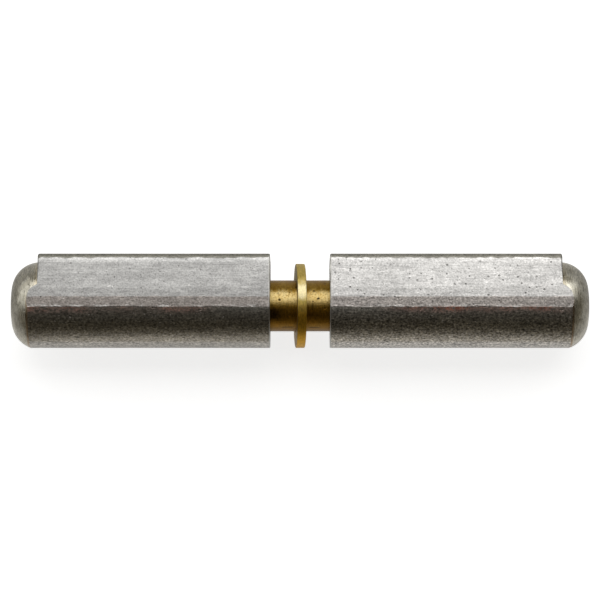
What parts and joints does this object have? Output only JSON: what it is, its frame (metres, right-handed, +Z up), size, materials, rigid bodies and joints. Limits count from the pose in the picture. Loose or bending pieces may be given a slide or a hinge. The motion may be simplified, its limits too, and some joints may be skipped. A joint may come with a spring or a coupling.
{
  "type": "weld-on barrel hinge",
  "caption": "Steel lift-off barrel hinge with flanked weld noses, loose brass pin and brass washer, lying drawn apart.",
  "frame": {"origin": "middle of the footprint of the whole hinge, on the surface that it lies on", "axes": "+X along the hinge axis from the left barrel to the right one, +Y towards the weld noses, +Z up from the surface that the hinge lies on"},
  "size_m": [0.1094, 0.0178, 0.0161],
  "materials": {
    "drawn_steel": "bare cold-drawn surface with lengthwise grain, fine pits and a little brown stain",
    "brass_pin": "drawn and lightly turned, dull",
    "brass_washer": "turned, satin"
  },
  "bodies": {
    "left_barrel": {"left_barrel": "drawn_steel"},
    "pin": {"hinge_pin": "brass_pin"},
    "washer": {"washer": "brass_washer"},
    "right_barrel": {"right_barrel": "drawn_steel"}
  },
  "joints": [
    {"name": "hinge_turn", "type": "hinge", "parent": "left_barrel", "child": "pin", "pos_m": [0, -0.00093, 0.008], "axis": [1, 0, 0], "continuous": true},
    {"name": "lift_off", "type": "slide", "parent": "pin", "child": "right_barrel", "axis": [1, 0, 0], "range_m": [-0.0086, 0.022]},
    {"name": "washer_slide", "type": "slide", "parent": "pin", "child": "washer", "axis": [1, 0, 0], "range_m": [-0.0043, 0.011]}
  ],
  "couplings": [
    {"joint": "washer_slide", "follows": "lift_off", "ratio": 0.5}
  ]
}
